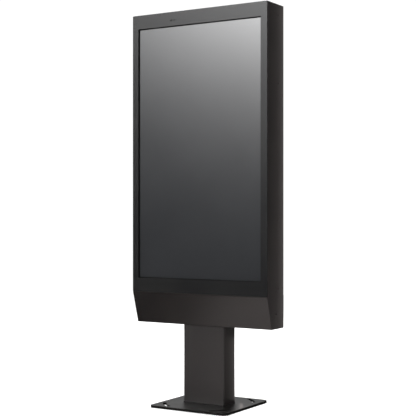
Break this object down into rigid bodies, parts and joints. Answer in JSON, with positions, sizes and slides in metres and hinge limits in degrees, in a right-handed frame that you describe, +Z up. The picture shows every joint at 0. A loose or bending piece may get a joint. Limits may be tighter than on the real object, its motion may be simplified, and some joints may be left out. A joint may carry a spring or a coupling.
{
  "type": "touchscreen kiosk",
  "caption": "Free-standing portrait touchscreen kiosk: slim sheet-metal casing with a sloping chin, lockable rear service door, floor column and slotted base plate.",
  "frame": {"origin": "on the floor, under the centre of the column and of the base plate", "axes": "+Z up, the screen faces -Y, +X to the right of a person who faces the screen"},
  "size_m": [0.7624, 0.42, 1.92],
  "materials": {
    "casing_paint": "black fine-texture powder coat",
    "bezel_paint": "black satin powder coat",
    "base_paint": "black powder coat on plate",
    "dark_screw": "black zinc-plated screws",
    "galvanised": "galvanised sheet",
    "zinc_bolt": "bright zinc plate",
    "cover_glass": "anti-glare laminated glass",
    "touch_film": "clear film on glass",
    "black_foam": "closed-cell foam rubber",
    "epdm": "extruded rubber seal",
    "lcd": "polariser film on glass",
    "diffuser": "opal acrylic",
    "led_board": "white solder mask",
    "aluminium_sheet": "mill finish",
    "extruded_aluminium": "extruded, natural anodised",
    "circuit_board": "green solder mask",
    "smoked_window": "infrared-clear black acrylic",
    "supply_case": "perforated sheet case",
    "player_case": "black sheet case",
    "button_plastic": "moulded cap",
    "breaker_plastic": "moulded, light grey",
    "toggle_plastic": "moulded, black",
    "cable_sheath": "black sheath",
    "fan_plastic": "glass-filled, black",
    "filter_mesh": "pleated filter fleece in a frame",
    "hinge_steel": "black powder coat",
    "hinge_pin_steel": "ground stainless steel",
    "lock_chrome": "chrome-plated zinc"
  },
  "bodies": {
    "casing": {"base_plate": "base_paint", "column_tube": "base_paint", "column_head_plate": "base_paint", "head_bolts": "zinc_bolt", "frame_rail_left": "galvanised", "frame_rail_right": "galvanised", "lower_cross_member": "galvanised", "middle_cross_member": "galvanised", "upper_cross_member": "galvanised", "frame_bolts": "zinc_bolt", "front_bezel": "bezel_paint", "side_panel_left": "casing_paint", "side_panel_right": "casing_paint", "top_panel": "casing_paint", "bottom_panel_left": "casing_paint", "bottom_panel_right": "casing_paint", "chin_cover": "casing_paint", "lower_rear_cover": "casing_paint", "rear_frame": "casing_paint", "side_screws": "dark_screw", "chin_screws": "dark_screw", "rear_cover_screws": "dark_screw", "cover_glass": "cover_glass", "touch_film": "touch_film", "glass_gasket": "black_foam", "glass_clamps": "zinc_bolt", "lcd_cell": "lcd", "diffuser_plate": "diffuser", "led_bars": "led_board", "backlight_tray": "aluminium_sheet", "heat_sink": "extruded_aluminium", "display_brackets": "galvanised", "sensor_board": "circuit_board", "sensor_windows": "smoked_window", "equipment_plate": "galvanised", "power_supply": "supply_case", "control_board": "circuit_board", "media_player": "player_case", "breaker_box": "breaker_plastic", "power_harness": "cable_sheath", "fan_tray": "galvanised", "fan_frame_left": "fan_plastic", "fan_frame_right": "fan_plastic", "door_gasket": "epdm", "hinge_seats": "hinge_steel", "hinge_pins": "hinge_pin_steel"},
    "door": {"rear_door": "casing_paint", "intake_grille": "casing_paint", "exhaust_grille": "casing_paint", "filter_holder": "galvanised", "hinge_knuckles": "hinge_steel", "lock_body_upper": "lock_chrome", "lock_body_lower": "lock_chrome"},
    "filter": {"air_filter": "filter_mesh"},
    "lock_plug_upper": {"lock_core_upper": "lock_chrome"},
    "lock_plug_lower": {"lock_core_lower": "lock_chrome"},
    "rotor_left": {"fan_rotor_left": "fan_plastic"},
    "rotor_right": {"fan_rotor_right": "fan_plastic"},
    "toggle": {"breaker_toggle": "toggle_plastic"},
    "button": {"player_button": "button_plastic"}
  },
  "joints": [
    {"name": "rear_door_hinge", "type": "hinge", "parent": "casing", "child": "door", "pos_m": [-0.372, 0.062, 1.235], "axis": [0, 0, 1], "range_deg": [0, 110]},
    {"name": "filter_slide", "type": "slide", "parent": "door", "child": "filter", "axis": [0, 0, 1], "range_m": [0, 0.12]},
    {"name": "lock_upper_turn", "type": "hinge", "parent": "door", "child": "lock_plug_upper", "pos_m": [0.336, 0.0705, 1.618], "axis": [0, 1, 0], "range_deg": [0, 90]},
    {"name": "lock_lower_turn", "type": "hinge", "parent": "door", "child": "lock_plug_lower", "pos_m": [0.336, 0.0705, 0.852], "axis": [0, 1, 0], "range_deg": [0, 90]},
    {"name": "fan_left_spin", "type": "hinge", "parent": "casing", "child": "rotor_left", "pos_m": [-0.16, 0.0365, 1.8], "axis": [0, 1, 0], "continuous": true},
    {"name": "fan_right_spin", "type": "hinge", "parent": "casing", "child": "rotor_right", "pos_m": [0.16, 0.0365, 1.8], "axis": [0, 1, 0], "continuous": true},
    {"name": "breaker_toggle_swing", "type": "hinge", "parent": "casing", "child": "toggle", "pos_m": [-0.2382, 0.039, 0.992], "axis": [1, 0, 0], "range_deg": [-50, 0]},
    {"name": "player_button_push", "type": "slide", "parent": "casing", "child": "button", "axis": [0, -1, 0], "range_m": [0, 0.0012], "stiffness_N_per_m": 400, "springref_m": -0.0005}
  ]
}
